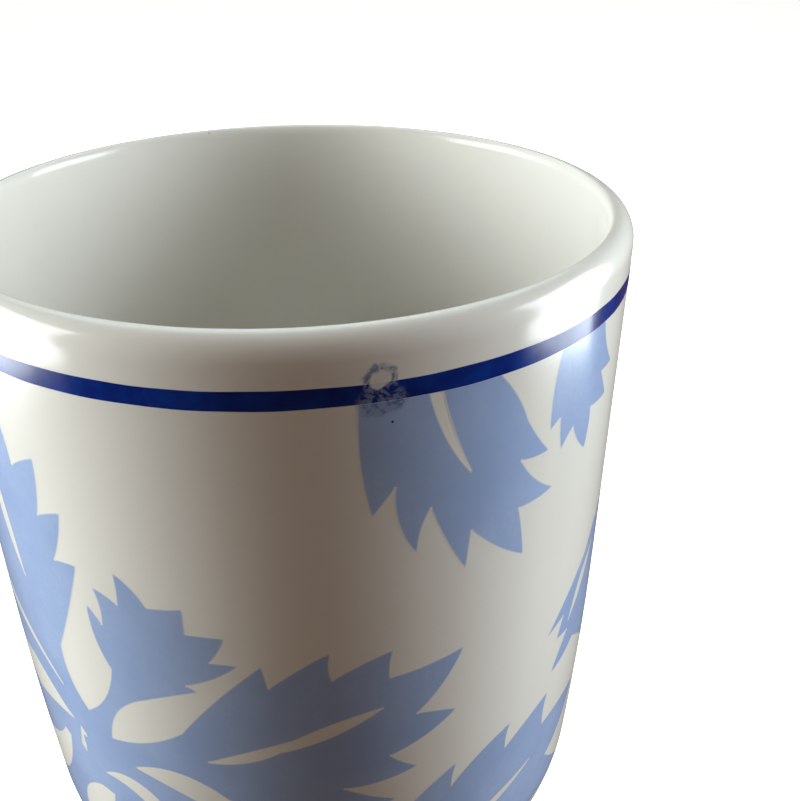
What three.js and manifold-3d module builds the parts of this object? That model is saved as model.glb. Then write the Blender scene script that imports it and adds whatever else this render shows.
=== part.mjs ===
// A glazed porcelain brush holder pot: an open, slightly flared vessel with a soft rim, a cobalt
// line under the rim and pale blue leaf sprays laid on the wall through a stencil.
// Millimetres, +Z up. The origin is the centre of the foot's bearing face.
import * as THREE from "three";
import { mergeVertices } from "three/addons/utils/BufferGeometryUtils.js";
import Module from "manifold-3d";

// ---- Driving dimensions ----

const HEIGHT = 98;
const MOUTH_RADIUS = 42; // the widest place, at the shoulder where the rim starts to round
const WALL = 3.1;

// Rim: a quarter ellipse on each side of the crest.
const CREST_RADIUS = 39.8;
const RIM_OUTER_DROP = 2.7;
const RIM_INNER_DROP = 1.5;

// Wall, from the top: a straight taper, a long gentle curve, and the tight curve of the base.
const TAPER = Math.atan(0.0298);
const STRAIGHT_END_Z = 51.9;
const GENTLE_RADIUS = 512;
const BASE_CURVE_TOP_Z = 20.9;
const BASE_CURVE_RADIUS = 23;

// Inside: the floor and the curve that joins it to the wall.
const FLOOR_Z = 7;
const FLOOR_CURVE_RADIUS = 16;

// Foot ring and the recess inside it.
const FOOT_TOP_Z = 3;
const FOOT_WIDTH = 3;
const FOOT_BEVEL = 0.5;
const RECESS_Z = 2.6;

// Cobalt line.
const LINE_TOP_Z = 92.8;
const LINE_WIDTH = 2.15;

// Pigment stands clear of the clay and of other pigment by these gaps.
const PIGMENT_GAP = 0.05;
const PIGMENT_THICKNESS = 0.25;
const LINE_CLEARANCE = 0.3;

// Facets round the pot, shared by the clay and the pigment, and steps along each curve.
const SEGMENTS = 48;
const RIM_STEPS = 4;
const GENTLE_STEPS = 3;
const BASE_STEPS = 6;
const OUTLINE_STEPS = 2;

const MM_PER_DEGREE = (MOUTH_RADIUS * Math.PI) / 180;
const PRISM_DEPTH = MOUTH_RADIUS + 10;

// ---- Profile ----

// The point at distance radius from a centre, in the direction that leans down from +r by angle.
function onArc(centre, radius, angle) {
  return new THREE.Vector2(
    centre.x + radius * Math.cos(angle),
    centre.y - radius * Math.sin(angle),
  );
}

function arcPoints(centre, radius, from, to, steps) {
  return Array.from({ length: steps + 1 }, (_, i) =>
    onArc(centre, radius, from + ((to - from) * i) / steps),
  );
}

function ellipsePoints(centre, across, up, from, to, steps) {
  return Array.from({ length: steps + 1 }, (_, i) => {
    const angle = from + ((to - from) * i) / steps;
    return new THREE.Vector2(centre.x + across * Math.cos(angle), centre.y + up * Math.sin(angle));
  });
}

const SHOULDER_Z = HEIGHT - RIM_OUTER_DROP;
const straightEnd = new THREE.Vector2(
  MOUTH_RADIUS - (SHOULDER_Z - STRAIGHT_END_Z) * Math.tan(TAPER),
  STRAIGHT_END_Z,
);
const gentleCentre = onArc(straightEnd, -GENTLE_RADIUS, TAPER);
const gentleEndAngle = Math.asin((gentleCentre.y - BASE_CURVE_TOP_Z) / GENTLE_RADIUS);
const baseCentre = onArc(gentleCentre, GENTLE_RADIUS - BASE_CURVE_RADIUS, gentleEndAngle);
const baseEndAngle = Math.asin((baseCentre.y - FOOT_TOP_Z) / BASE_CURVE_RADIUS);
const FOOT_RADIUS = onArc(baseCentre, BASE_CURVE_RADIUS, baseEndAngle).x;

// The outside of the wall from the shoulder down to the foot, moved outwards by offset.
function outsideWall(offset) {
  const shoulder = new THREE.Vector2(MOUTH_RADIUS, SHOULDER_Z);
  return [
    onArc(shoulder, offset, TAPER),
    onArc(straightEnd, offset, TAPER),
    ...arcPoints(gentleCentre, GENTLE_RADIUS + offset, TAPER, gentleEndAngle, GENTLE_STEPS).slice(1),
    ...arcPoints(
      baseCentre,
      BASE_CURVE_RADIUS + offset,
      gentleEndAngle,
      baseEndAngle,
      BASE_STEPS,
    ).slice(1),
  ];
}

// The outside radius of the wall at height z.
function wallRadius(z) {
  if (z > STRAIGHT_END_Z) return straightEnd.x + (z - STRAIGHT_END_Z) * Math.tan(TAPER);
  const [centre, radius] =
    z > BASE_CURVE_TOP_Z ? [gentleCentre, GENTLE_RADIUS] : [baseCentre, BASE_CURVE_RADIUS];
  return centre.x + Math.sqrt(radius ** 2 - (z - centre.y) ** 2);
}

// A profile turned round +Z, with its first facet edge at -Y.
function lathe(profile) {
  return new THREE.LatheGeometry(profile, SEGMENTS).rotateX(Math.PI / 2);
}

// The clay, from the middle of the recess, over the foot, up the outside, over the rim and down
// the inside to the middle of the floor.
function bodyGeometry() {
  const floorAngle = Math.asin(
    (gentleCentre.y - FLOOR_Z - FLOOR_CURVE_RADIUS) / (GENTLE_RADIUS - WALL - FLOOR_CURVE_RADIUS),
  );
  const floorCentre = onArc(gentleCentre, GENTLE_RADIUS - WALL - FLOOR_CURVE_RADIUS, floorAngle);
  const footInside = FOOT_RADIUS - FOOT_WIDTH;
  const foot = [
    [0, RECESS_Z],
    [footInside, RECESS_Z],
    [footInside, FOOT_BEVEL],
    [footInside + FOOT_BEVEL, 0],
    [FOOT_RADIUS - FOOT_BEVEL, 0],
    [FOOT_RADIUS, FOOT_BEVEL],
  ].map(([r, z]) => new THREE.Vector2(r, z));
  const outerRim = ellipsePoints(
    { x: CREST_RADIUS, y: SHOULDER_Z },
    MOUTH_RADIUS - CREST_RADIUS,
    RIM_OUTER_DROP,
    0,
    Math.PI / 2,
    RIM_STEPS,
  );
  const innerTop = HEIGHT - RIM_INNER_DROP;
  const innerTopRadius = wallRadius(innerTop) - WALL;
  const innerRim = ellipsePoints(
    { x: CREST_RADIUS, y: innerTop },
    CREST_RADIUS - innerTopRadius,
    RIM_INNER_DROP,
    Math.PI / 2,
    Math.PI,
    RIM_STEPS,
  );
  const inside = [
    ...arcPoints(gentleCentre, GENTLE_RADIUS - WALL, TAPER, floorAngle, GENTLE_STEPS),
    ...arcPoints(floorCentre, FLOOR_CURVE_RADIUS, floorAngle, Math.PI / 2, BASE_STEPS).slice(1),
    new THREE.Vector2(0, FLOOR_Z),
  ];
  return lathe([
    ...foot,
    ...outsideWall(0).reverse(),
    ...outerRim.slice(1),
    ...innerRim.slice(1),
    ...inside,
  ]);
}

function lineGeometry() {
  const bottom = LINE_TOP_Z - LINE_WIDTH;
  const ring = [
    [PIGMENT_GAP, bottom],
    [PIGMENT_GAP + PIGMENT_THICKNESS, bottom],
    [PIGMENT_GAP + PIGMENT_THICKNESS, LINE_TOP_Z],
    [PIGMENT_GAP, LINE_TOP_Z],
    [PIGMENT_GAP, bottom],
  ].map(([offset, z]) => new THREE.Vector2(wallRadius(z) + offset, z));
  return lathe(ring);
}

// ---- Solids ----

const wasm = await Module();
wasm.setup();

function toSolid(geometry) {
  geometry.deleteAttribute("normal");
  geometry.deleteAttribute("uv");
  const merged = mergeVertices(geometry, 1e-4);
  return new wasm.Manifold(
    new wasm.Mesh({
      numProp: 3,
      vertProperties: merged.attributes.position.array,
      triVerts: new Uint32Array(merged.index.array),
    }),
  );
}

function toGeometry(solid) {
  const mesh = solid.getMesh();
  return new THREE.BufferGeometry()
    .setAttribute("position", new THREE.BufferAttribute(mesh.vertProperties, 3))
    .setIndex(new THREE.BufferAttribute(mesh.triVerts, 1))
    .toNonIndexed();
}

// The thin skin of pigment over the whole wall, which each motif is cut from.
const skinInside = outsideWall(PIGMENT_GAP);
const skinOutside = outsideWall(PIGMENT_GAP + PIGMENT_THICKNESS);
const pigmentSkin = toSolid(lathe([...skinInside, ...skinOutside.reverse(), skinInside[0]]));

// ---- Leaf outlines ----
// Each outline runs clockwise as seen from outside the pot. A row is [degrees round the pot from
// -Y towards +X, height in mm, bulge]. The bulge is how far the middle of the stroke that ends
// there stands out of the leaf, as a share of the stroke's length; it is 0 where it is left out.

const LEAF_TOP = LINE_TOP_Z - LINE_WIDTH - LINE_CLEARANCE;

const HANGING_LEAF = {
  leaves: [
    [
      [7.3, LEAF_TOP],
      [27, LEAF_TOP],
      [33.6, 84.2, 0.05],
      [38.9, 79.1, -0.03],
      [32.7, 79.6, 0.04],
      [40.8, 73.8, -0.07],
      [33, 73.5, 0.04],
      [34.8, 66.8, 0.02],
      [24.1, 73.3, 0.04],
      [23.4, 68.5],
      [17.4, 77.7, 0.03],
      [15.3, 72.4, -0.07],
      [12.2, 81, 0.09],
      [8.8, 77.9],
      [7.3, LEAF_TOP, 0.04],
    ],
  ],
  veins: [
    [
      [16.9, LEAF_TOP + 1],
      [18.7, LEAF_TOP + 1],
      [23.9, 80.3, -0.03],
      [16.9, LEAF_TOP + 1, 0.06],
    ],
  ],
};

const SMALL_HANGING_LEAF = {
  leaves: [
    [
      [40.4, LEAF_TOP],
      [52.6, LEAF_TOP],
      [58.4, 84.3, -0.08],
      [53.8, 84.3, 0.02],
      [57.1, 80.5],
      [50.7, 80.8, 0.03],
      [50, 75.7, 0.06],
      [45.2, 80.1, 0.07],
      [42.2, 78.1, -0.05],
      [41.3, 82.4, 0.03],
      [38.9, 81.5, -0.05],
      [40.4, LEAF_TOP, 0.05],
    ],
  ],
  veins: [],
};

// A spray of leaves round one joint: the first reaches up, and the rest follow clockwise.
const SPRAY = {
  leaves: [
    [
      [-47, 42],
      [-48.6, 47.4],
      [-62, 54.3, -0.03],
      [-77.5, 63.5, 0.05],
      [-71, 65],
      [-77, 71, 0.05],
      [-69, 71.5],
      [-73, 79.5, 0.05],
      [-63.5, 78],
      [-62, 88.5, 0.05],
      [-56, 82.5],
      [-50, 87.5, 0.03],
      [-47.9, 78.7, 0.03],
      [-41.8, 81.1, 0.03],
      [-43.8, 73.5, 0.04],
      [-38.3, 75.2, 0.02],
      [-42.1, 68.1, 0.04],
      [-37.2, 68.6, 0.02],
      [-46, 54.5, 0.02],
      [-42, 45.8, -0.12],
      [-44, 40],
    ],
    [
      [-46, 42],
      [-42, 45.8],
      [-33.9, 55, -0.1],
      [-36.5, 63.6, 0.08],
      [-34, 61.4, 0.03],
      [-34.5, 66.5, -0.08],
      [-30.1, 65.1, 0.05],
      [-29.9, 69.5, -0.03],
      [-25, 65.8, 0.07],
      [-19.2, 66.5, -0.02],
      [-19.3, 63.1],
      [-13.3, 63.1],
      [-16.1, 59.5, 0.04],
      [-11.7, 59.4],
      [-20.5, 55.7, 0.05],
      [-18.6, 55],
      [-30, 51.2, -0.02],
      [-37.4, 42.9, -0.12],
      [-42, 38],
    ],
    [
      [-45, 41],
      [-37.4, 42.9],
      [-22.3, 48, -0.06],
      [-8.2, 59.4, 0.03],
      [-7.4, 56.2],
      [2.1, 60.9, 0.03],
      [2.2, 56.9, -0.07],
      [11.7, 59.9, 0.04],
      [11.2, 56, -0.05],
      [23.8, 57.3, -0.02],
      [15.6, 49.6, 0.06],
      [22.9, 48.2, 0.02],
      [11.1, 44, 0.05],
      [16, 41.1, -0.04],
      [3.3, 39.9, 0.05],
      [12.3, 36.4, -0.03],
      [1, 35.6, 0.05],
      [5.5, 32.6, -0.03],
      [-5, 34.4, 0.04],
      [-16, 38.2],
      [-33.4, 39.4, -0.18],
      [-44, 37],
    ],
    [
      [-46, 40],
      [-33.4, 39.4],
      [-20.5, 36.4, 0.03],
      [-9.5, 31.2, 0.04],
      [-11.5, 28.6],
      [-3, 25.6, 0.04],
      [-8, 22.8],
      [-2, 17.8, 0.04],
      [-10.5, 18],
      [-10.5, 12.2, 0.04],
      [-17.5, 16.5],
      [-21, 11.5, 0.04],
      [-25, 19.5],
      [-29, 34.5, 0.05],
      [-42, 35, -0.22],
      [-46, 37],
    ],
    [
      [-46, 38],
      [-42, 35],
      [-32.5, 33.2, 0.12],
      [-27.5, 19, 0.03],
      [-31.5, 18.5],
      [-29, 11.5, 0.04],
      [-35.5, 14],
      [-37, 8.5, 0.04],
      [-41.5, 13.5],
      [-45, 10.5, 0.04],
      [-40.8, 31.4, 0.04],
      [-47, 34],
    ],
    [
      [-50, 40],
      [-40.8, 31.4],
      [-44.5, 31.6, -0.05],
      [-53, 24, -0.13],
      [-53.5, 12, 0.05],
      [-60, 15.5],
      [-62, 9.5, 0.04],
      [-67, 14],
      [-73, 11.5, 0.04],
      [-71, 18.5],
      [-79, 19.5, 0.04],
      [-62.5, 25, 0.05],
      [-52.2, 35.2, -0.08],
    ],
    [
      [-46, 42],
      [-48, 36],
      [-53, 37.8],
      [-66, 32, 0.1],
      [-82, 27.5, 0.05],
      [-80, 31.5],
      [-92, 33, 0.05],
      [-85, 36.5],
      [-92, 42, 0.05],
      [-80, 41.5],
      [-74, 44.5, 0.05],
      [-62, 40.5, 0.05],
      [-49, 41.8, 0.03],
    ],
    [
      [-45, 41],
      [-50, 43],
      [-60, 47, -0.05],
      [-78, 48, 0.05],
      [-76, 51],
      [-90, 52.5, 0.05],
      [-82, 55.5],
      [-88, 60.5, 0.05],
      [-76, 57.5],
      [-64, 53.2, 0.05],
      [-48.6, 47, 0.03],
      [-45, 44],
    ],
  ],
  veins: [
    [
      [-55.8, 78],
      [-53.2, 62],
      [-55.8, 78, 0.09],
    ],
    [
      [-18.4, 44.1],
      [-4.2, 48.4, 0.02],
      [10.1, 51.8, 0.05],
      [-6.4, 46.6, 0.04],
      [-18.4, 44.1, 0.07],
    ],
  ],
};

const LOW_LEAF = {
  leaves: [
    [
      [2, 15],
      [15.9, 35, 0.1],
      [23.6, 38.8, 0.03],
      [22.9, 34.9, -0.05],
      [35.7, 40.4, 0.08],
      [35, 36.3, -0.08],
      [47, 39.8, 0.05],
      [46.6, 34.3, -0.06],
      [63, 33.5, 0.05],
      [51, 25.9, 0.1],
      [60.5, 20.6, -0.04],
      [46, 18.4, 0.05],
      [50, 12, -0.04],
      [36, 13.5, 0.05],
      [35, 9.5],
      [22, 11.5, 0.05],
      [10, 13.5],
      [2, 11.5, 0.03],
    ],
  ],
  veins: [
    [
      [19, 22.5],
      [43.6, 29.6, 0.05],
      [19, 22.5, 0.01],
    ],
  ],
};

const SIDE_LEAF = {
  leaves: [
    [
      [57.5, 57.4],
      [69, 63, 0.06],
      [69.5, 58.5],
      [78, 60, 0.05],
      [75.5, 54.5],
      [83, 52, 0.05],
      [77.5, 48.5],
      [81, 41.5, 0.05],
      [73, 43],
      [72.5, 35.5, 0.04],
      [56, 44.7, -0.03],
      [47.5, 43, 0.06],
      [52.6, 47.8, 0.03],
      [48.1, 48.2],
      [49.9, 51.3],
      [44.5, 50.4],
      [57.5, 57.4, 0.03],
    ],
  ],
  veins: [
    [
      [62.5, 57.2],
      [52.5, 49.2, 0.04],
      [57.2, 55, 0.05],
      [62.5, 57.2, 0.02],
    ],
  ],
};

// The points of an outline, with each curved stroke cut into short ones.
function outlinePoints(rows) {
  return rows.flatMap(([degrees, z, bulge = 0], i) => {
    const [fromDegrees, fromZ] = rows.at(i - 1);
    const run = (degrees - fromDegrees) * MM_PER_DEGREE;
    const rise = z - fromZ;
    const control = new THREE.Vector2(
      (fromDegrees + degrees) / 2 - (2 * bulge * rise) / MM_PER_DEGREE,
      (fromZ + z) / 2 + 2 * bulge * run,
    );
    const stroke = new THREE.QuadraticBezierCurve(
      new THREE.Vector2(fromDegrees, fromZ),
      control,
      new THREE.Vector2(degrees, z),
    );
    return stroke.getPoints(bulge ? OUTLINE_STEPS : 1).slice(1);
  });
}

// An outline as a prism that reaches from the pot's axis out past the wall, facing `facing`.
function outlinePrism(rows, facing) {
  const points = outlinePoints(rows).map(({ x: degrees, y: z }) => {
    const turn = THREE.MathUtils.degToRad(degrees - facing);
    return new THREE.Vector2(wallRadius(z) * Math.sin(turn), z);
  });
  const prism = new THREE.ExtrudeGeometry(new THREE.Shape(points), {
    depth: PRISM_DEPTH,
    bevelEnabled: false,
  });
  const angle = THREE.MathUtils.degToRad(facing);
  const across = new THREE.Vector3(Math.cos(angle), Math.sin(angle), 0);
  const outwards = new THREE.Vector3(Math.sin(angle), -Math.cos(angle), 0);
  prism.applyMatrix4(new THREE.Matrix4().makeBasis(across, new THREE.Vector3(0, 0, 1), outwards));
  return toSolid(prism);
}

function motifGeometry({ leaves, veins }) {
  const sides = leaves.flat().map(([degrees]) => degrees);
  const facing = (Math.min(...sides) + Math.max(...sides)) / 2;
  const [first, ...others] = leaves.map((rows) => outlinePrism(rows, facing));
  const joined = others.reduce((solid, leaf) => solid.add(leaf), first);
  const slit = veins.reduce((solid, rows) => solid.subtract(outlinePrism(rows, facing)), joined);
  return toGeometry(slit.intersect(pigmentSkin));
}

// ---- Assembly ----

const porcelain = new THREE.MeshStandardMaterial({ color: 0xeceae2, roughness: 0.12 });
const cobalt = new THREE.MeshStandardMaterial({ color: 0x101d72, roughness: 0.18 });
const paleBlue = new THREE.MeshStandardMaterial({ color: 0x98acd6, roughness: 0.15 });

const pot = new THREE.Group();

function addPiece(name, geometry, material, turn = 0) {
  const mesh = new THREE.Mesh(geometry, material);
  mesh.name = name;
  mesh.rotation.z = turn;
  pot.add(mesh);
}

addPiece("pot_body", bodyGeometry(), porcelain);
addPiece("rim_line", lineGeometry(), cobalt);

// The stencil set repeats twice round the pot, front and back.
const MOTIFS = {
  leaf_spray: SPRAY,
  hanging_leaf: HANGING_LEAF,
  small_hanging_leaf: SMALL_HANGING_LEAF,
  low_leaf: LOW_LEAF,
  side_leaf: SIDE_LEAF,
};
for (const [name, motif] of Object.entries(MOTIFS)) {
  const geometry = motifGeometry(motif);
  addPiece(`${name}_front`, geometry, paleBlue);
  addPiece(`${name}_back`, geometry, paleBlue, Math.PI);
}

export default pot;
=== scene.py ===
"""The looks of a glazed porcelain brush holder pot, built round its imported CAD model.

Lengths are in millimetres until they become mesh coordinates, and angles round the pot are in
degrees from -Y towards +X.
"""

import math

import bpy
import numpy as np
from mathutils import Matrix, Vector
from mathutils.geometry import delaunay_2d_cdt


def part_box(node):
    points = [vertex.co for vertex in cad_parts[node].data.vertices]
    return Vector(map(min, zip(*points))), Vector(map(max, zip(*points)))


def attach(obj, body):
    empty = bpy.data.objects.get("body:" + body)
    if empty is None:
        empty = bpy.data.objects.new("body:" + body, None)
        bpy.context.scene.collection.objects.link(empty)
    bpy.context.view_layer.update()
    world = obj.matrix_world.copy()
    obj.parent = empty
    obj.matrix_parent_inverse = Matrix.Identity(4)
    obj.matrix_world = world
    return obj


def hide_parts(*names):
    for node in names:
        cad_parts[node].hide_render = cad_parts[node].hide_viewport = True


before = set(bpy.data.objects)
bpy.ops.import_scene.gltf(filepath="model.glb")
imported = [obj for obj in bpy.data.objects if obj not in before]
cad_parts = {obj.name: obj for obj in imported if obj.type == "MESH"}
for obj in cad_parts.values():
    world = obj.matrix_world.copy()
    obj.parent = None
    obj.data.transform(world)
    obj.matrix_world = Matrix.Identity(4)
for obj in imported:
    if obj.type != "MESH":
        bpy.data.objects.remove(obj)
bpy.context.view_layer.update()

MM = 0.001

# ---- Sizes of the pot ----

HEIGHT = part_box("pot_body")[1].z / MM
MOUTH_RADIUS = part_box("pot_body")[1].x / MM
WALL = 3.1
CREST_RADIUS = 39.8
RIM_OUTER_DROP = 2.7
RIM_INNER_DROP = 1.5
TAPER = math.atan(0.0298)
STRAIGHT_END_Z = 51.9
GENTLE_RADIUS = 512
BASE_CURVE_TOP_Z = 20.9
BASE_CURVE_RADIUS = 23
FLOOR_Z = 7
FLOOR_CURVE_RADIUS = 16
FOOT_TOP_Z = 3
FOOT_WIDTH = 3
FOOT_ROUND = 0.7
BARE_SHARE = 0.8
RECESS_Z = 2.6
RECESS_ROUND = 1.2
LINE_BOTTOM_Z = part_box("rim_line")[0].z / MM
LINE_TOP_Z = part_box("rim_line")[1].z / MM

# How far each skin of pigment stands off the clay: its inside, its outside at its edge, and its
# outside away from the edge.
LEAF_SKIN = (0.006, 0.008, 0.013)
LINE_SKIN = (0.016, 0.018, 0.024)

# The fade at the edge of the pigment, measured inwards from its outline.
LEAF_FADE = 0.28
LINE_FADE = 0.05
VEIN_SHRINK = 0.05

SEGMENTS = 288
SKIN_GRID = 1.1
OUTLINE_STEP = 0.45
CORNER_RING = 12
MM_PER_DEGREE = MOUTH_RADIUS * math.pi / 180


# ---- Profile ----


def on_arc(centre, radius, angle):
    """The point at that distance from the centre, in the direction that leans down from +r."""
    return (centre[0] + radius * math.cos(angle), centre[1] - radius * math.sin(angle))


def arc(centre, radius, start, end, steps):
    return [on_arc(centre, radius, start + (end - start) * i / steps) for i in range(steps + 1)]


def ellipse(centre, across, up, start, end, steps):
    angles = [start + (end - start) * i / steps for i in range(steps + 1)]
    return [(centre[0] + across * math.cos(a), centre[1] + up * math.sin(a)) for a in angles]


def line(start, end, steps):
    return [
        tuple(a + (b - a) * i / steps for a, b in zip(start, end)) for i in range(steps + 1)
    ]


SHOULDER_Z = HEIGHT - RIM_OUTER_DROP
SHOULDER = (MOUTH_RADIUS, SHOULDER_Z)
STRAIGHT_END = (
    MOUTH_RADIUS - (SHOULDER_Z - STRAIGHT_END_Z) * math.tan(TAPER),
    STRAIGHT_END_Z,
)
GENTLE_CENTRE = on_arc(STRAIGHT_END, -GENTLE_RADIUS, TAPER)
GENTLE_END = math.asin((GENTLE_CENTRE[1] - BASE_CURVE_TOP_Z) / GENTLE_RADIUS)
BASE_CENTRE = on_arc(GENTLE_CENTRE, GENTLE_RADIUS - BASE_CURVE_RADIUS, GENTLE_END)
BASE_END = math.asin((BASE_CENTRE[1] - FOOT_TOP_Z) / BASE_CURVE_RADIUS)
FOOT_RADIUS = on_arc(BASE_CENTRE, BASE_CURVE_RADIUS, BASE_END)[0]


def wall_point(z):
    """The wall's outside radius at height z, and how far its outward normal leans down."""
    if z > STRAIGHT_END_Z:
        return STRAIGHT_END[0] + (z - STRAIGHT_END_Z) * math.tan(TAPER), TAPER
    centre, radius = (
        (GENTLE_CENTRE, GENTLE_RADIUS)
        if z > BASE_CURVE_TOP_Z
        else (BASE_CENTRE, BASE_CURVE_RADIUS)
    )
    lean = math.asin((centre[1] - z) / radius)
    return centre[0] + radius * math.cos(lean), lean


def body_profile():
    """The clay's section, from the recess's middle over the foot and rim to the floor's middle."""
    inside_foot = FOOT_RADIUS - FOOT_WIDTH
    gentle_inside = GENTLE_RADIUS - WALL
    floor_lean = math.asin(
        (GENTLE_CENTRE[1] - FLOOR_Z - FLOOR_CURVE_RADIUS) / (gentle_inside - FLOOR_CURVE_RADIUS)
    )
    floor_centre = on_arc(GENTLE_CENTRE, gentle_inside - FLOOR_CURVE_RADIUS, floor_lean)
    rim_inside_z = HEIGHT - RIM_INNER_DROP
    rim_inside_radius = wall_point(rim_inside_z)[0] - WALL
    quarter = math.pi / 2
    recess_round = (inside_foot - RECESS_ROUND, RECESS_Z - RECESS_ROUND)
    recess = line((0, RECESS_Z), (inside_foot - RECESS_ROUND, RECESS_Z), 12)
    recess += ellipse(recess_round, RECESS_ROUND, RECESS_ROUND, quarter, 0, 6)[1:]
    foot = ellipse(
        (inside_foot + FOOT_ROUND, FOOT_ROUND), FOOT_ROUND, FOOT_ROUND, 2 * quarter, 3 * quarter, 6
    )
    foot += ellipse(
        (FOOT_RADIUS - FOOT_ROUND, FOOT_ROUND), FOOT_ROUND, FOOT_ROUND, 3 * quarter, 4 * quarter, 6
    )
    foot += line((FOOT_RADIUS, FOOT_ROUND), (FOOT_RADIUS, FOOT_TOP_Z), 4)[1:-1]
    outside = arc(BASE_CENTRE, BASE_CURVE_RADIUS, BASE_END, GENTLE_END, 22)
    outside += arc(GENTLE_CENTRE, GENTLE_RADIUS, GENTLE_END, TAPER, 14)[1:]
    outside += line(STRAIGHT_END, SHOULDER, 20)[1:]
    rim = ellipse(
        (CREST_RADIUS, SHOULDER_Z), MOUTH_RADIUS - CREST_RADIUS, RIM_OUTER_DROP, 0, quarter, 14
    )[1:]
    rim += ellipse(
        (CREST_RADIUS, rim_inside_z),
        CREST_RADIUS - rim_inside_radius,
        RIM_INNER_DROP,
        quarter,
        2 * quarter,
        12,
    )[1:]
    inside_taper_end = on_arc(GENTLE_CENTRE, gentle_inside, TAPER)
    inside = line((rim_inside_radius, rim_inside_z), inside_taper_end, 16)[1:]
    inside += arc(GENTLE_CENTRE, gentle_inside, TAPER, floor_lean, 12)[1:]
    inside += arc(floor_centre, FLOOR_CURVE_RADIUS, floor_lean, quarter, 18)[1:]
    inside += line((floor_centre[0], FLOOR_Z), (0, FLOOR_Z), 10)[1:]
    return recess + foot + outside + rim + inside


# ---- Meshes ----


def new_object(name, points, faces, materials):
    mesh = bpy.data.meshes.new(name)
    mesh.from_pydata([tuple(c * MM for c in p) for p in points], [], faces)
    mesh.validate()
    mesh.shade_smooth()
    for material in materials:
        mesh.materials.append(material)
    piece = bpy.data.objects.new(name, mesh)
    bpy.context.scene.collection.objects.link(piece)
    return piece


def round_pot(radius, degrees, z):
    turn = math.radians(degrees)
    return (radius * math.sin(turn), -radius * math.cos(turn), z)


def build_body(materials):
    profile = body_profile()
    rings = profile[1:-1]
    points = [
        round_pot(r, 360 * k / SEGMENTS, z) for r, z in rings for k in range(SEGMENTS)
    ]
    low, high = len(points), len(points) + 1
    points += [(0, 0, profile[0][1]), (0, 0, profile[-1][1])]
    faces = [
        (
            i * SEGMENTS + k,
            i * SEGMENTS + (k + 1) % SEGMENTS,
            (i + 1) * SEGMENTS + (k + 1) % SEGMENTS,
            (i + 1) * SEGMENTS + k,
        )
        for i in range(len(rings) - 1)
        for k in range(SEGMENTS)
    ]
    last = (len(rings) - 1) * SEGMENTS
    faces += [(low, (k + 1) % SEGMENTS, k) for k in range(SEGMENTS)]
    faces += [(high, last + k, last + (k + 1) % SEGMENTS) for k in range(SEGMENTS)]
    piece = new_object("porcelain_body", points, faces, materials)
    bare = FOOT_ROUND * BARE_SHARE * MM
    for face in piece.data.polygons:
        if all(piece.data.vertices[v].co.z < bare for v in face.vertices):
            face.material_index = 1
    return piece


def border_edges(triangles):
    """The edges that only one triangle has, each in that triangle's direction."""
    edges = dict.fromkeys(e for a, b, c in triangles for e in ((a, b), (b, c), (c, a)))
    return [(a, b) for a, b in edges if (b, a) not in edges]


def skin_mesh(name, flat, depths, triangles, skin, material):
    """A thin closed skin that follows the wall. flat is (degrees, z) for each point, depths is
    how deep inside the pigment's edge it lies as a share of the fade, and triangles face outwards.
    """
    count = len(flat)
    inside, edge, outside = skin
    points, normals = [], []
    for facing in (1, -1):
        for (degrees, z), depth in zip(flat, depths):
            radius, lean = wall_point(z)
            offset = edge + (outside - edge) * depth if facing > 0 else inside
            r, height = on_arc((radius, z), offset, lean)
            points.append(round_pot(r, degrees, height))
            normals.append(Vector(round_pot(math.cos(lean), degrees, -math.sin(lean))) * facing)
    border = border_edges(triangles)
    faces = list(triangles) + [(c + count, b + count, a + count) for a, b, c in triangles]
    faces += [(b, a, a + count, b + count) for a, b in border]
    piece = new_object(name, points, faces, [material])
    attribute = piece.data.attributes.new("pigment_depth", "FLOAT", "POINT")
    attribute.data.foreach_set("value", np.tile(np.asarray(depths, np.float32), 2))
    piece.data.normals_split_custom_set_from_vertices(normals)
    return piece


# ---- Leaf outlines ----
# Each outline runs clockwise as seen from outside the pot. A row is [degrees, mm up, bulge]. The
# bulge is how far the middle of the stroke that ends there stands out of the leaf, as a share of
# the stroke's length.

# The hanging leaves end behind the cobalt line.
LEAF_TOP = LINE_BOTTOM_Z + 0.7

HANGING_LEAF = {
    "leaves": [
        [
            [7.3, LEAF_TOP], [27, LEAF_TOP], [33.6, 84.2, 0.05], [38.9, 79.1, -0.03],
            [32.7, 79.6, 0.04], [40.8, 73.8, -0.07], [33, 73.5, 0.04], [34.8, 66.8, 0.02],
            [24.1, 73.3, 0.04], [23.4, 68.5], [17.4, 77.7, 0.03], [15.3, 72.4, -0.07],
            [12.2, 81, 0.09], [8.8, 77.9], [7.3, LEAF_TOP, 0.04],
        ],
    ],
    "veins": [
        [[16.7, LEAF_TOP], [18.5, LEAF_TOP], [23.9, 80.3, -0.03], [16.7, LEAF_TOP, 0.06]],
    ],
}

SMALL_HANGING_LEAF = {
    "leaves": [
        [
            [40.4, LEAF_TOP], [52.6, LEAF_TOP], [58.4, 84.3, -0.08], [53.8, 84.3, 0.02],
            [57.1, 80.5], [50.7, 80.8, 0.03], [50, 75.7, 0.06], [45.2, 80.1, 0.07],
            [42.2, 78.1, -0.05], [41.3, 82.4, 0.03], [38.9, 81.5, -0.05],
            [40.4, LEAF_TOP, 0.05],
        ],
    ],
    "veins": [],
}

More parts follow.
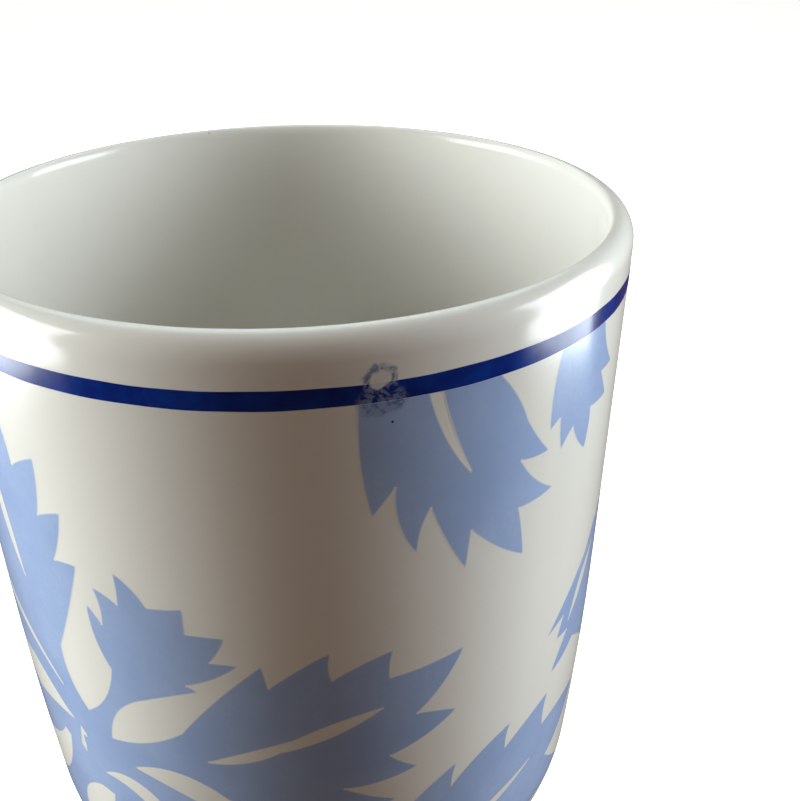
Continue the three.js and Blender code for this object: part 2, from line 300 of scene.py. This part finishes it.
# A spray of leaves round one joint: the first reaches up, and the rest follow clockwise.
SPRAY = {
    "leaves": [
        [
            [-47, 42], [-48.6, 47.4], [-62, 54.3, -0.03], [-77.5, 63.5, 0.05], [-71, 65],
            [-77, 71, 0.05], [-69, 71.5], [-73, 79.5, 0.05], [-63.5, 78], [-62, 88.5, 0.05],
            [-56, 82.5], [-50, 87.5, 0.03], [-47.9, 78.7, 0.03], [-41.8, 81.1, 0.03],
            [-43.8, 73.5, 0.04], [-38.3, 75.2, 0.02], [-42.1, 68.1, 0.04], [-37.2, 68.6, 0.02],
            [-46, 54.5, 0.02], [-42, 45.8, -0.12], [-44, 40],
        ],
        [
            [-46, 42], [-42, 45.8], [-33.9, 55, -0.1], [-36.5, 63.6, 0.08], [-34, 61.4, 0.03],
            [-34.5, 66.5, -0.08], [-30.1, 65.1, 0.05], [-29.9, 69.5, -0.03], [-25, 65.8, 0.07],
            [-19.2, 66.5, -0.02], [-19.3, 63.1], [-13.3, 63.1], [-16.1, 59.5, 0.04],
            [-11.7, 59.4], [-20.5, 55.7, 0.05], [-18.6, 55], [-30, 51.2, -0.02],
            [-37.4, 42.9, -0.12], [-42, 38],
        ],
        [
            [-45, 41], [-37.4, 42.9], [-22.3, 48, -0.06], [-8.2, 59.4, 0.03], [-7.4, 56.2],
            [2.1, 60.9, 0.03], [2.2, 56.9, -0.07], [11.7, 59.9, 0.04], [11.2, 56, -0.05],
            [23.8, 57.3, -0.02], [15.6, 49.6, 0.06], [22.9, 48.2, 0.02], [11.1, 44, 0.05],
            [16, 41.1, -0.04], [3.3, 39.9, 0.05], [12.3, 36.4, -0.03], [1, 35.6, 0.05],
            [5.5, 32.6, -0.03], [-5, 34.4, 0.04], [-16, 38.2], [-33.4, 39.4, -0.18], [-44, 37],
        ],
        [
            [-46, 40], [-33.4, 39.4], [-20.5, 36.4, 0.03], [-9.5, 31.2, 0.04], [-11.5, 28.6],
            [-3, 25.6, 0.04], [-8, 22.8], [-2, 17.8, 0.04], [-10.5, 18], [-10.5, 12.2, 0.04],
            [-17.5, 16.5], [-21, 11.5, 0.04], [-25, 19.5], [-29, 34.5, 0.05],
            [-42, 35, -0.22], [-46, 37],
        ],
        [
            [-46, 38], [-42, 35], [-32.5, 33.2, 0.12], [-27.5, 19, 0.03], [-31.5, 18.5],
            [-29, 11.5, 0.04], [-35.5, 14], [-37, 8.5, 0.04], [-41.5, 13.5], [-45, 10.5, 0.04],
            [-40.8, 31.4, 0.04], [-47, 34],
        ],
        [
            [-50, 40], [-40.8, 31.4], [-44.5, 31.6, -0.05], [-53, 24, -0.13],
            [-53.5, 12, 0.05], [-60, 15.5], [-62, 9.5, 0.04], [-67, 14], [-73, 11.5, 0.04],
            [-71, 18.5], [-79, 19.5, 0.04], [-62.5, 25, 0.05], [-52.2, 35.2, -0.08],
        ],
        [
            [-46, 42], [-48, 36], [-53, 37.8], [-66, 32, 0.1], [-82, 27.5, 0.05], [-80, 31.5],
            [-92, 33, 0.05], [-85, 36.5], [-92, 42, 0.05], [-80, 41.5], [-74, 44.5, 0.05],
            [-62, 40.5, 0.05], [-49, 41.8, 0.03],
        ],
        [
            [-45, 41], [-50, 43], [-60, 47, -0.05], [-78, 48, 0.05], [-76, 51],
            [-90, 52.5, 0.05], [-82, 55.5], [-88, 60.5, 0.05], [-76, 57.5], [-64, 53.2, 0.05],
            [-48.6, 47, 0.03], [-45, 44],
        ],
    ],
    "veins": [
        [[-55.8, 78], [-53.2, 62], [-55.8, 78, 0.09]],
        [
            [-18.4, 44.1], [-4.2, 48.4, 0.02], [10.1, 51.8, 0.05], [-6.4, 46.6, 0.04],
            [-18.4, 44.1, 0.07],
        ],
    ],
}

LOW_LEAF = {
    "leaves": [
        [
            [2, 15], [15.9, 35, 0.1], [23.6, 38.8, 0.03], [22.9, 34.9, -0.05],
            [35.7, 40.4, 0.08], [35, 36.3, -0.08], [47, 39.8, 0.05], [46.6, 34.3, -0.06],
            [63, 33.5, 0.05], [51, 25.9, 0.1], [60.5, 20.6, -0.04], [46, 18.4, 0.05],
            [50, 12, -0.04], [36, 13.5, 0.05], [35, 9.5], [22, 11.5, 0.05], [10, 13.5],
            [2, 11.5, 0.03],
        ],
    ],
    "veins": [[[19, 22.5], [43.6, 29.6, 0.05], [19, 22.5, 0.01]]],
}

SIDE_LEAF = {
    "leaves": [
        [
            [57.5, 57.4], [69, 63, 0.06], [69.5, 58.5], [78, 60, 0.05], [75.5, 54.5],
            [83, 52, 0.05], [77.5, 48.5], [81, 41.5, 0.05], [73, 43], [72.5, 35.5, 0.04],
            [56, 44.7, -0.03], [47.5, 43, 0.06], [52.6, 47.8, 0.03], [48.1, 48.2],
            [49.9, 51.3], [44.5, 50.4], [57.5, 57.4, 0.03],
        ],
    ],
    "veins": [
        [[62.5, 57.2], [52.5, 49.2, 0.04], [57.2, 55, 0.05], [62.5, 57.2, 0.02]],
    ],
}

MOTIFS = {
    "leaf_spray": SPRAY,
    "hanging_leaf": HANGING_LEAF,
    "small_hanging_leaf": SMALL_HANGING_LEAF,
    "low_leaf": LOW_LEAF,
    "side_leaf": SIDE_LEAF,
}


def outline(rows, grow):
    """An outline's points, anticlockwise on the unrolled wall in mm, with every stroke cut up and
    all of it moved outwards by grow.
    """
    points = []
    for i, (degrees, z, *bulge) in enumerate(rows):
        start = np.array([rows[i - 1][0] * MM_PER_DEGREE, rows[i - 1][1]])
        end = np.array([degrees * MM_PER_DEGREE, z])
        run, rise = end - start
        middle = (start + end) / 2 + 2 * (bulge[0] if bulge else 0) * np.array([-rise, run])
        steps = math.ceil(math.hypot(run, rise) / OUTLINE_STEP)
        for k in range(1, steps + 1):
            t = k / steps
            points.append((1 - t) ** 2 * start + 2 * t * (1 - t) * middle + t * t * end)
    points = np.array(points[::-1])
    along = np.roll(points, -1, axis=0) - np.roll(points, 1, axis=0)
    outwards = np.stack([along[:, 1], -along[:, 0]], 1)
    return points + grow * outwards / np.linalg.norm(outwards, axis=1)[:, None]


def triangulate(outlines, leaf_count, extra):
    """The triangles of the leaves, less the veins. The first leaf_count outlines are leaves."""
    points = [Vector(p) for o in outlines for p in o] + [Vector(p) for p in extra]
    starts = np.cumsum([0] + [len(o) for o in outlines])
    faces = [list(range(starts[i], starts[i + 1])) for i in range(len(outlines))]
    made, _, triangles, _, _, inside = delaunay_2d_cdt(points, [], faces, 0, 1e-4)
    kept = [
        t
        for t, of in zip(triangles, inside)
        if any(f < leaf_count for f in of) and not any(f >= leaf_count for f in of)
    ]
    used = sorted({v for t in kept for v in t})
    renumber = {v: i for i, v in enumerate(used)}
    flat = np.array([tuple(made[v]) for v in used])
    ordered = []
    for t in kept:
        a, b, c = (renumber[v] for v in t)
        (ax, ay), (bx, by), (cx, cy) = flat[a], flat[b], flat[c]
        turns_left = (bx - ax) * (cy - ay) - (by - ay) * (cx - ax) > 0
        ordered.append((a, b, c) if turns_left else (a, c, b))
    return flat, ordered


def border_segments(flat, triangles):
    """The two ends of every stroke of the triangles' border."""
    border = border_edges(triangles)
    return flat[[a for a, _ in border]], flat[[b for _, b in border]]


def distance_to(points, starts, ends):
    """How far each point is from the nearest of the segments."""
    along = ends - starts
    lengths = np.maximum((along**2).sum(1), 1e-12)
    nearest = np.full(len(points), np.inf)
    for i in range(0, len(points), 1000):
        gap = points[i : i + 1000, None] - starts
        share = np.clip((gap * along).sum(2) / lengths, 0, 1)
        apart = np.hypot(*np.moveaxis(gap - share[..., None] * along, 2, 0))
        nearest[i : i + 1000] = apart.min(1)
    return nearest


def build_motif(name, motif, turn, material):
    """One area of leaf pigment, turned round the pot, in place of the CAD solid of that name."""
    outlines = [outline(rows, LEAF_FADE / 2) for rows in motif["leaves"]]
    outlines += [outline(rows, -VEIN_SHRINK) for rows in motif["veins"]]
    leaf_count = len(motif["leaves"])
    flat, triangles = triangulate(outlines, leaf_count, [])
    starts, ends = border_segments(flat, triangles)
    along = ends - starts
    inwards = np.stack([-along[:, 1], along[:, 0]], 1)
    inwards /= np.linalg.norm(inwards, axis=1)[:, None]
    all_rows = [row for rows in motif["leaves"] + motif["veins"] for row in rows]
    corners = np.array([(row[0] * MM_PER_DEGREE, row[1]) for row in all_rows])
    # Extra points: two bands along the edge, rings round the corners, and a grid further in.
    extra = []
    for depth in (LEAF_FADE / 2, LEAF_FADE):
        ring = [(starts + ends) / 2 + inwards * depth]
        for k in range(CORNER_RING):
            turn_to = 2 * math.pi * k / CORNER_RING
            ring.append(corners + depth * 1.5 * np.array([math.cos(turn_to), math.sin(turn_to)]))
        ring = np.concatenate(ring)
        apart = distance_to(ring, starts, ends)
        extra.append(ring[(apart > depth * 0.9) & (apart < depth * 2)])
    low, high = flat.min(0), flat.max(0)
    columns = np.arange(low[0], high[0], SKIN_GRID)
    heights = np.arange(low[1], high[1], SKIN_GRID * math.sqrt(3) / 2)
    grid = np.array(
        [(x + (j % 2) * SKIN_GRID / 2, y) for j, y in enumerate(heights) for x in columns]
    )
    extra.append(grid[distance_to(grid, starts, ends) > LEAF_FADE + SKIN_GRID / 3])
    flat, triangles = triangulate(outlines, leaf_count, np.concatenate(extra))
    depths = np.minimum(distance_to(flat, starts, ends) / LEAF_FADE, 1)
    places = [(x / MM_PER_DEGREE + turn, z) for x, z in flat]
    piece = skin_mesh(name, places, depths, triangles, LEAF_SKIN, material)
    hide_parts(name.replace("pigment_", ""))
    return piece


# The waver of the line's lower and upper edge: (mm, waves round the pot, phase).
LOWER_WAVES = ((0.04, 3, 1), (0.03, 11, 0), (0.02, 29, 0))
UPPER_WAVES = ((0.03, 2, 0), (0.03, 13, 2), (0.015, 37, 0))


def waver(turn, waves):
    return sum(amount * math.sin(count * turn + phase) for amount, count, phase in waves)


def build_rim_line(material):
    """The hand-banded cobalt line, whose edges waver a little round the pot."""
    shares = [0, LINE_FADE / 2, LINE_FADE, 0.6, 0.95]
    half = (LINE_TOP_Z - LINE_BOTTOM_Z) / 2
    across = [(s, s) for s in shares] + [(2 * half - s, s) for s in reversed(shares[:-1])]
    flat, depths = [], []
    for k in range(SEGMENTS):
        turn = 2 * math.pi * k / SEGMENTS
        lower = waver(turn, LOWER_WAVES)
        upper = waver(turn, UPPER_WAVES)
        for up, depth in across:
            share = up / (2 * half)
            z = LINE_BOTTOM_Z + up + lower * (1 - share) + upper * share
            flat.append((360 * k / SEGMENTS, z))
            depths.append(min(depth / LINE_FADE, 1))
    rows = len(across)
    triangles = []
    for k in range(SEGMENTS):
        here, there = k * rows, (k + 1) % SEGMENTS * rows
        for i in range(rows - 1):
            triangles.append((here + i, there + i, there + i + 1))
            triangles.append((here + i, there + i + 1, here + i + 1))
    piece = skin_mesh("cobalt_rim_line", flat, depths, triangles, LINE_SKIN, material)
    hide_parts("rim_line")
    return piece


# ---- Materials ----

PORCELAIN = (0.80, 0.785, 0.735)
PORCELAIN_SHADE = (0.785, 0.768, 0.715)
LEAF_BLUE = (0.31, 0.42, 0.68)
LEAF_BLUE_PALE = (0.37, 0.48, 0.73)
COBALT = (0.001, 0.016, 0.17)
COBALT_THIN = (0.002, 0.032, 0.25)
SPATTER = (0.12, 0.17, 0.36)
SPATTER_THIN = (0.22, 0.27, 0.44)
BUBBLE_COLOUR = (0.62, 0.64, 0.66)
IRON_SPECK = (0.33, 0.27, 0.2)
PINHOLE = (0.16, 0.22, 0.50)
BARE_CLAY = (0.62, 0.56, 0.47)
BARE_CLAY_PALE = (0.70, 0.66, 0.58)

# The glaze: its roughness from its smoothest to its roughest, and the height of its ripple in m.
GLAZE_ROUGHNESS = (0.17, 0.23)
RIPPLE_HEIGHT = 0.0004
GLAZE_IOR = 1.5
GLAZE_GLOSS = 0.22
COBALT_GLOSS = 0.1


class Nodes:
    """A short way to add and wire shader nodes."""

    def __init__(self, tree):
        self.tree = tree

    def add(self, kind, inputs=(), **settings):
        node = self.tree.nodes.new(kind)
        for key, value in settings.items():
            setattr(node, key, value)
        for key, value in dict(inputs).items():
            if isinstance(value, bpy.types.NodeSocket):
                self.tree.links.new(value, node.inputs[key])
            else:
                node.inputs[key].default_value = value
        return node

    def noise(self, vector, scale, detail=3, roughness=0.55):
        inputs = {"Vector": vector, "Scale": scale, "Detail": detail, "Roughness": roughness}
        return self.add("ShaderNodeTexNoise", inputs).outputs["Fac"]

    def ramp(self, value, low, high, to_low=0.0, to_high=1.0):
        """value eased from one range to another."""
        inputs = {0: value, 1: low, 2: high, 3: to_low, 4: to_high}
        return self.add("ShaderNodeMapRange", inputs, interpolation_type="SMOOTHSTEP").outputs[0]

    def math(self, operation, a, b=0.0):
        return self.add("ShaderNodeMath", {0: a, 1: b}, operation=operation).outputs[0]

    def mix(self, share, a, b):
        inputs = {0: share, 6: rgba(a), 7: rgba(b)}
        return self.add("ShaderNodeMix", inputs, data_type="RGBA").outputs[2]

    def bump(self, height, strength, distance):
        inputs = {"Height": height, "Strength": strength, "Distance": distance}
        return self.add("ShaderNodeBump", inputs).outputs[0]

    def vector(self, operation, a, b):
        inputs = {0: a, 1: b}
        return self.add("ShaderNodeVectorMath", inputs, operation=operation).outputs[0]

    def scaled(self, vector, share):
        inputs = {0: vector, "Scale": share}
        return self.add("ShaderNodeVectorMath", inputs, operation="SCALE").outputs[0]

    def length(self, vector):
        return self.add("ShaderNodeVectorMath", {0: vector}, operation="LENGTH").outputs["Value"]

    def cell_distance(self, vector, scale):
        inputs = {"Vector": vector, "Scale": scale}
        return self.add("ShaderNodeTexVoronoi", inputs).outputs["Distance"]


def rgba(colour):
    if isinstance(colour, bpy.types.NodeSocket):
        return colour
    return (*colour, 1.0)


def glazed(name, paint, gloss=GLAZE_GLOSS):
    """A glossy glaze over the colour that paint(nodes, place) makes, where place is in metres."""
    material = bpy.data.materials.new(name)
    material.use_nodes = True
    nodes = Nodes(material.node_tree)
    shader = material.node_tree.nodes["Principled BSDF"]
    place = nodes.add("ShaderNodeTexCoord").outputs["Object"]
    material.node_tree.links.new(paint(nodes, place), shader.inputs["Base Color"])
    smooth = nodes.ramp(nodes.noise(place, 40, 2), 0.2, 0.8, *GLAZE_ROUGHNESS)
    material.node_tree.links.new(smooth, shader.inputs["Roughness"])
    ripple = nodes.noise(place, 45, 0)
    fine = nodes.math("MULTIPLY", nodes.noise(place, 700, 2), 0.02)
    height = nodes.math("ADD", ripple, fine)
    bump = nodes.bump(height, 0.35, RIPPLE_HEIGHT)
    material.node_tree.links.new(bump, shader.inputs["Normal"])
    material.node_tree.links.new(bump, shader.inputs["Coat Normal"])
    shader.inputs["IOR"].default_value = GLAZE_IOR
    shader.inputs["Specular IOR Level"].default_value = gloss
    shader.inputs["Coat Weight"].default_value = 0.33
    shader.inputs["Coat Roughness"].default_value = 0.11
    shader.inputs["Coat IOR"].default_value = GLAZE_IOR
    return material


# The blotch on the cobalt line: a pale bubble, a mottled ring round it and a smear under it.
# A place is (degrees, mm up), and a size is in mm.
BUBBLE = (10.1, 93.0)
BUBBLE_RADIUS = 0.9
RING_RADIUS = 1.7
SMEAR = (10.3, 90.7)
SMEAR_RADIUS = 2.6
SMEAR_SQUASH = 1.4
SPECK = (11.7, 88.4)
SPECK_EDGE = (0.18, 0.08)

# How far the blotch's outline wanders, in m for a whole step of the noise.
WANDER = 0.0016


def blotch(nodes, place):
    """How far a point lies in the mottled area, how mottled it is there, and how far it lies in
    the bubble and in the lone speck under them.
    """
    swirl = nodes.add("ShaderNodeTexNoise", {"Vector": place, "Scale": 620.0, "Detail": 2.0})
    wander = nodes.vector("ADD", swirl.outputs["Color"], (-0.5, -0.5, -0.5))
    bent = nodes.vector("ADD", place, nodes.scaled(wander, WANDER))

    def reach(spot, squash=1.0, source=bent):
        centre = [c * MM for c in round_pot(wall_point(spot[1])[0], *spot)]
        gap = nodes.vector("SUBTRACT", source, centre)
        return nodes.length(nodes.vector("MULTIPLY", gap, (1, 1, squash)))

    bubble = nodes.ramp(reach(BUBBLE), BUBBLE_RADIUS * 1.2 * MM, BUBBLE_RADIUS * 0.8 * MM)
    ring = nodes.ramp(reach(BUBBLE), RING_RADIUS * 1.15 * MM, RING_RADIUS * 0.8 * MM)
    smear = nodes.ramp(reach(SMEAR, SMEAR_SQUASH), SMEAR_RADIUS * 1.1 * MM, SMEAR_RADIUS * 0.6 * MM)
    speck = nodes.ramp(reach(SPECK, source=place), SPECK_EDGE[0] * MM, SPECK_EDGE[1] * MM)
    area = nodes.math("MAXIMUM", ring, smear)
    mottle = nodes.ramp(nodes.noise(bent, 1700, 3, 0.6), 0.38, 0.64)
    return area, mottle, bubble, speck


def porcelain_colour(nodes, place):
    broad = nodes.ramp(nodes.noise(place, 18, 1), 0.2, 0.8)
    clay = nodes.mix(broad, PORCELAIN, PORCELAIN_SHADE)
    cells = nodes.cell_distance(place, 110.0)
    sparse = nodes.ramp(nodes.noise(place, 70, 1), 0.62, 0.68)
    speck = nodes.math("MULTIPLY", nodes.ramp(cells, 0.035, 0.015), sparse)
    return nodes.mix(nodes.math("MULTIPLY", speck, 0.5), clay, IRON_SPECK)


def spattered(nodes, place, colour):
    """The colour with the blotch's stray cobalt over it."""
    area, mottle, bubble, speck = blotch(nodes, place)
    stray = nodes.math("MULTIPLY", area, nodes.ramp(mottle, 0.0, 1.0, 0.35, 0.9))
    stray = nodes.math("MULTIPLY", stray, nodes.ramp(bubble, 0.0, 1.0, 1.0, 0.15))
    colour = nodes.mix(stray, colour, SPATTER)
    return nodes.mix(speck, colour, COBALT)


def paint_body(nodes, place):
    return spattered(nodes, place, porcelain_colour(nodes, place))


def pigment_depth(nodes):
    return nodes.add("ShaderNodeAttribute", attribute_name="pigment_depth").outputs["Fac"]


def paint_leaf(nodes, place):
    cloud = nodes.ramp(nodes.noise(place, 90, 4), 0.3, 0.7)
    grain = nodes.ramp(nodes.noise(place, 1600, 2), 0.3, 0.7, 0.0, 0.35)
    blue = nodes.mix(cloud, LEAF_BLUE, LEAF_BLUE_PALE)
    blue = nodes.mix(grain, blue, LEAF_BLUE)
    soft = nodes.ramp(pigment_depth(nodes), 0.0, 1.0)
    return spattered(nodes, place, nodes.mix(soft, porcelain_colour(nodes, place), blue))


def paint_line(nodes, place):
    area, mottle, bubble, _ = blotch(nodes, place)
    streak = nodes.ramp(nodes.noise(place, 260, 4), 0.35, 0.7)
    cobalt = nodes.mix(streak, COBALT, COBALT_THIN)
    cells = nodes.cell_distance(place, 420.0)
    sparse = nodes.ramp(nodes.noise(place, 300, 1), 0.55, 0.62)
    pinhole = nodes.math("MULTIPLY", nodes.ramp(cells, 0.14, 0.05), sparse)
    cobalt = nodes.mix(nodes.math("MULTIPLY", pinhole, 0.35), cobalt, PINHOLE)
    broken = nodes.math("MULTIPLY", area, nodes.ramp(mottle, 0.0, 1.0, 0.75, 0.0))
    cobalt = nodes.mix(broken, cobalt, SPATTER_THIN)
    cobalt = nodes.mix(bubble, cobalt, BUBBLE_COLOUR)
    soft = nodes.ramp(pigment_depth(nodes), 0.0, 1.0)
    return nodes.mix(soft, porcelain_colour(nodes, place), cobalt)


def bare_clay():
    material = bpy.data.materials.new("bare_foot_clay")
    material.use_nodes = True
    nodes = Nodes(material.node_tree)
    shader = material.node_tree.nodes["Principled BSDF"]
    place = nodes.add("ShaderNodeTexCoord").outputs["Object"]
    grain = nodes.noise(place, 1800, 4)
    colour = nodes.mix(nodes.ramp(grain, 0.35, 0.65), BARE_CLAY, BARE_CLAY_PALE)
    material.node_tree.links.new(colour, shader.inputs["Base Color"])
    rough = nodes.ramp(grain, 0.3, 0.7, 0.62, 0.8)
    material.node_tree.links.new(rough, shader.inputs["Roughness"])
    material.node_tree.links.new(nodes.bump(grain, 0.5, 0.00008), shader.inputs["Normal"])
    return material


# ---- Room, lights and camera ----

# The camera, in metres and mm of lens. Its two directions are in the pot's own frame.
CAMERA_PLACE = (0, -0.12654, 0.13577)
CAMERA_FORWARD = (0.09460, 0.88052, -0.46447)
CAMERA_RIGHT = (0.99386, -0.11046, -0.00697)
CAMERA_LENS = 46.93

ROOM_RADIUS = 3000
DOME_RINGS = 16
DOME_STEPS = 48
FLOOR_SHADE = 0.9
PALE_GLOW = 0.92
FILL_COLOUR = (1.0, 0.5, 0.2)
FILL_STRENGTH = 0.09
SOFTBOX_DISTANCE = 0.55


def add_camera():
    """Close to the front of the pot, a little above its rim, looking down at it."""
    data = bpy.data.cameras.new("camera")
    data.sensor_width = 36
    data.lens = CAMERA_LENS
    data.clip_start = 0.005
    camera = bpy.data.objects.new("camera", data)
    forward = Vector(CAMERA_FORWARD).normalized()
    right = Vector(CAMERA_RIGHT).normalized()
    up = right.cross(forward).normalized()
    right = forward.cross(up)
    turn = Matrix((right, up, -forward)).transposed().to_4x4()
    camera.matrix_world = Matrix.Translation(CAMERA_PLACE) @ turn
    bpy.context.scene.collection.objects.link(camera)
    bpy.context.scene.camera = camera


def pale_paint(name, shade):
    """A pale matt surface that is lit from within, so that it stays even."""
    material = bpy.data.materials.new(name)
    material.use_nodes = True
    shader = material.node_tree.nodes["Principled BSDF"]
    shader.inputs["Base Color"].default_value = (shade, shade, shade, 1)
    shader.inputs["Roughness"].default_value = 0.6
    shader.inputs["Emission Color"].default_value = (1, 1, 1, 1)
    shader.inputs["Emission Strength"].default_value = PALE_GLOW
    return material


def add_softbox(name, azimuth, elevation, size, power, colour):
    """A soft rectangular light that faces the pot. Azimuth 0 is in front, and 90 is to the right."""
    data = bpy.data.lights.new(name, "AREA")
    data.shape = "RECTANGLE"
    data.size, data.size_y = size
    data.energy = power
    data.color = colour
    light = bpy.data.objects.new(name, data)
    a, e = math.radians(azimuth), math.radians(elevation)
    away = Vector((math.sin(a) * math.cos(e), -math.cos(a) * math.cos(e), math.sin(e)))
    light.location = Vector((0, 0, HEIGHT * MM / 2)) + away * SOFTBOX_DISTANCE
    light.rotation_mode = "QUATERNION"
    light.rotation_quaternion = away.to_track_quat("Z", "Y")
    bpy.context.scene.collection.objects.link(light)


def build_backdrop():
    """A dome over the floor, which the camera sees above the horizon."""

    def dome_point(ring, step):
        up = math.pi / 2 * ring / DOME_RINGS
        round_axis = 2 * math.pi * step / DOME_STEPS
        return (
            ROOM_RADIUS * math.cos(up) * math.cos(round_axis),
            ROOM_RADIUS * math.cos(up) * math.sin(round_axis),
            ROOM_RADIUS * math.sin(up),
        )

    points = [dome_point(j, k) for j in range(DOME_RINGS) for k in range(DOME_STEPS)]
    points.append((0, 0, ROOM_RADIUS))
    panels = []
    for k in range(DOME_STEPS):
        after = (k + 1) % DOME_STEPS
        for low in range(0, (DOME_RINGS - 1) * DOME_STEPS, DOME_STEPS):
            high = low + DOME_STEPS
            panels.append((low + k, high + k, high + after, low + after))
        last = (DOME_RINGS - 1) * DOME_STEPS
        panels.append((last + k, len(points) - 1, last + after))
    backdrop = new_object("studio_backdrop", points, panels, [pale_paint("pale_backdrop", 0)])
    backdrop.visible_shadow = False
    return backdrop


def build_floor():
    r = ROOM_RADIUS
    corners = [(-r, -r, 0), (r, -r, 0), (r, r, 0), (-r, r, 0)]
    paint = pale_paint("pale_floor", FLOOR_SHADE)
    return new_object("studio_floor", corners, [(0, 1, 2, 3)], [paint])


def add_room():
    """A warm dim fill, and a floor and backdrop that throw no light on the pot."""
    world = bpy.data.worlds.new("studio")
    bpy.context.scene.world = world
    world.use_nodes = True
    background = world.node_tree.nodes["Background"]
    background.inputs["Color"].default_value = (*FILL_COLOUR, 1)
    background.inputs["Strength"].default_value = FILL_STRENGTH
    for stage_piece in (build_floor(), build_backdrop()):
        stage_piece.visible_diffuse = False
        stage_piece.visible_glossy = False


def add_lights():
    add_softbox("left_window", -90, 7, (0.36, 0.6), 6.5, (0.91, 0.97, 0.97))
    add_softbox("left_rear_window", -104, 2, (0.36, 0.5), 2.4, (0.9, 1.0, 1.0))
    add_softbox("right_window", 93, 6, (0.36, 0.6), 7.6, (0.87, 0.96, 1.0))
    add_softbox("back_panel", 180, 52, (0.5, 0.4), 1.2, (0.75, 0.95, 1.0))


# ---- The pot ----

add_camera()
add_room()
add_lights()
bpy.context.scene.view_settings.view_transform = "Standard"

body = build_body([glazed("glazed_porcelain", paint_body), bare_clay()])
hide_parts("pot_body")
leaf_glaze = glazed("glazed_leaf_blue", paint_leaf)
pieces = [body, build_rim_line(glazed("glazed_cobalt", paint_line, COBALT_GLOSS))]
for motif_name, motif in MOTIFS.items():
    for side, turn in (("front", 0), ("back", 180)):
        pieces.append(build_motif(f"pigment_{motif_name}_{side}", motif, turn, leaf_glaze))
for piece in pieces:
    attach(piece, "root")
